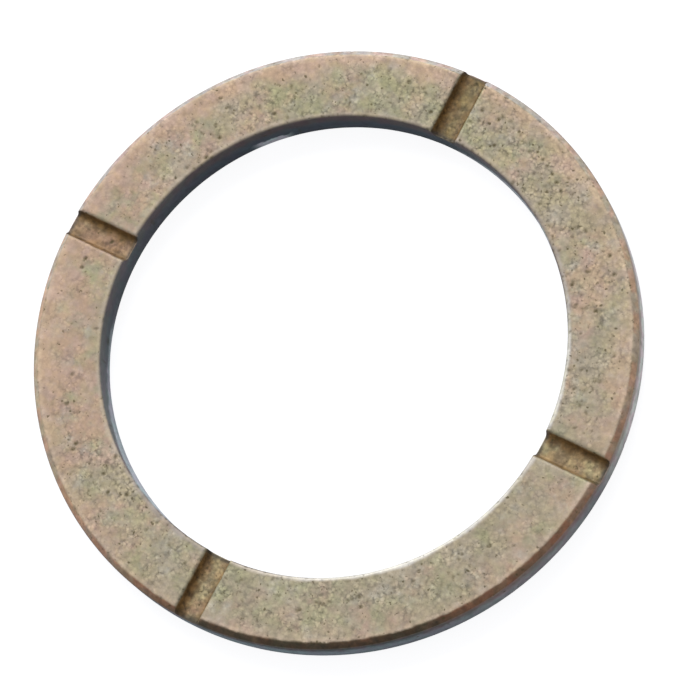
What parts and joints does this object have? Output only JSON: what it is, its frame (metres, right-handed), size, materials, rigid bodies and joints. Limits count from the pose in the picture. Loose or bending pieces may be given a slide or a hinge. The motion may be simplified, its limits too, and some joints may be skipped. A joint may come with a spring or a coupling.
{
  "type": "thrust ring",
  "caption": "Flat bronze thrust ring with radial oil grooves across its thrust face and a chamfered outer rim.",
  "frame": {"origin": "centre of the bore on the flat back face", "axes": "+Z along the bore axis towards the grooved thrust face; a groove lies on each of +X, +Y, -X and -Y"},
  "size_m": [0.065, 0.065, 0.004],
  "materials": {
    "sintered_bronze": "matte porous sintered bronze, tan with fine dark pores, slate grey on the sized walls"
  },
  "bodies": {
    "root": {"thrust_ring": "sintered_bronze"}
  },
  "joints": []
}
